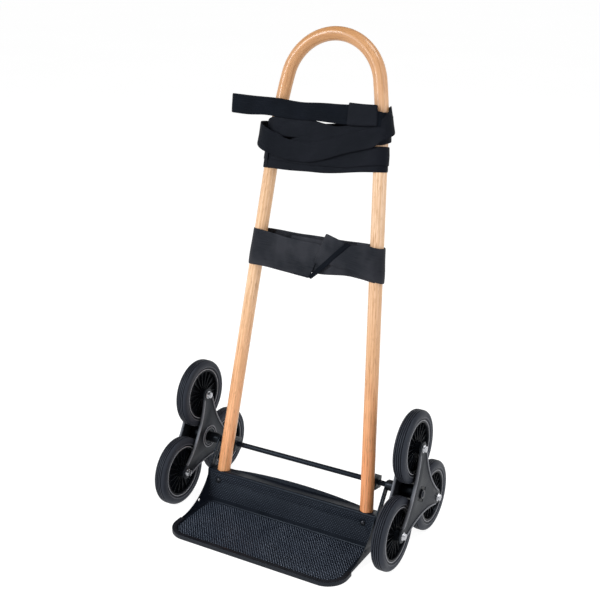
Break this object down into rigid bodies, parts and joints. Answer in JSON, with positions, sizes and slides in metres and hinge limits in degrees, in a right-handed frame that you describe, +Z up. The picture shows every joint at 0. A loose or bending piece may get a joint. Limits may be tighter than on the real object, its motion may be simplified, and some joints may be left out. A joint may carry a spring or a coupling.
{
  "type": "shopping trolley frame",
  "caption": "Stair-climbing shopping trolley frame: bent wooden hoop on a steel toe plate, an axle with three-wheel stars at its ends, and black straps wound round the rails.",
  "frame": {"origin": "centre of the footprint on the floor, under the middle of the overall box", "axes": "+X to the trolley's right seen from its toe plate side, +Y from the toe plate to the handle side, +Z up"},
  "size_m": [0.614, 0.4066, 1.0858],
  "materials": {
    "beech": "clear satin lacquer over bent beech",
    "black_steel": "black powder coat",
    "black_plastic": "moulded black plastic",
    "star_plastic": "grained dark grey moulding",
    "rim_plastic": "moulded black plastic",
    "tyre_rubber": "ribbed solid rubber",
    "trim_rubber": "extruded edge trim",
    "zinc": "bright zinc plate",
    "nylon": "natural nylon",
    "webbing": "woven black webbing",
    "elastic": "ribbed dark elastic"
  },
  "bodies": {
    "frame": {"hoop": "beech", "toe_plate": "black_steel", "rear_plate": "black_steel", "edge_trim": "trim_rubber", "rail_bolts": "black_steel", "rail_nuts": "zinc", "axle": "black_steel", "saddle_left": "black_plastic", "saddle_right": "black_plastic", "saddle_screws": "zinc", "bracket_left": "black_steel", "bracket_right": "black_steel", "bracket_bolts": "zinc", "bracket_nuts": "zinc", "axle_collars": "black_plastic", "push_nuts": "black_steel", "elastic_band": "elastic", "wound_webbing": "webbing", "fastening_strap": "webbing"},
    "star_left": {"star_inner_left": "star_plastic", "star_outer_left": "star_plastic", "hub_barrel_left": "black_plastic", "hub_bushes_left": "black_plastic", "wheel_bolts_left": "zinc", "wheel_nuts_left": "zinc", "wheel_washers_left": "zinc"},
    "wheel_left_top": {"tyre_left_top": "tyre_rubber", "rim_left_top": "rim_plastic", "bush_left_top": "nylon"},
    "wheel_left_front": {"tyre_left_front": "tyre_rubber", "rim_left_front": "rim_plastic", "bush_left_front": "nylon"},
    "wheel_left_rear": {"tyre_left_rear": "tyre_rubber", "rim_left_rear": "rim_plastic", "bush_left_rear": "nylon"},
    "star_right": {"star_inner_right": "star_plastic", "star_outer_right": "star_plastic", "hub_barrel_right": "black_plastic", "hub_bushes_right": "black_plastic", "wheel_bolts_right": "zinc", "wheel_nuts_right": "zinc", "wheel_washers_right": "zinc"},
    "wheel_right_top": {"tyre_right_top": "tyre_rubber", "rim_right_top": "rim_plastic", "bush_right_top": "nylon"},
    "wheel_right_front": {"tyre_right_front": "tyre_rubber", "rim_right_front": "rim_plastic", "bush_right_front": "nylon"},
    "wheel_right_rear": {"tyre_right_rear": "tyre_rubber", "rim_right_rear": "rim_plastic", "bush_right_rear": "nylon"}
  },
  "joints": [
    {"name": "star_left_spin", "type": "hinge", "parent": "frame", "child": "star_left", "pos_m": [-0.276, 0.02973, 0.134], "axis": [1, 0, 0], "continuous": true},
    {"name": "wheel_left_top_spin", "type": "hinge", "parent": "star_left", "child": "wheel_left_top", "pos_m": [-0.276, 0.02973, 0.242], "axis": [1, 0, 0], "continuous": true},
    {"name": "wheel_left_front_spin", "type": "hinge", "parent": "star_left", "child": "wheel_left_front", "pos_m": [-0.276, -0.0638, 0.08], "axis": [1, 0, 0], "continuous": true},
    {"name": "wheel_left_rear_spin", "type": "hinge", "parent": "star_left", "child": "wheel_left_rear", "pos_m": [-0.276, 0.12326, 0.08], "axis": [1, 0, 0], "continuous": true},
    {"name": "star_right_spin", "type": "hinge", "parent": "frame", "child": "star_right", "pos_m": [0.276, 0.02973, 0.134], "axis": [1, 0, 0], "continuous": true},
    {"name": "wheel_right_top_spin", "type": "hinge", "parent": "star_right", "child": "wheel_right_top", "pos_m": [0.276, 0.02973, 0.242], "axis": [1, 0, 0], "continuous": true},
    {"name": "wheel_right_front_spin", "type": "hinge", "parent": "star_right", "child": "wheel_right_front", "pos_m": [0.276, -0.0638, 0.08], "axis": [1, 0, 0], "continuous": true},
    {"name": "wheel_right_rear_spin", "type": "hinge", "parent": "star_right", "child": "wheel_right_rear", "pos_m": [0.276, 0.12326, 0.08], "axis": [1, 0, 0], "continuous": true}
  ]
}
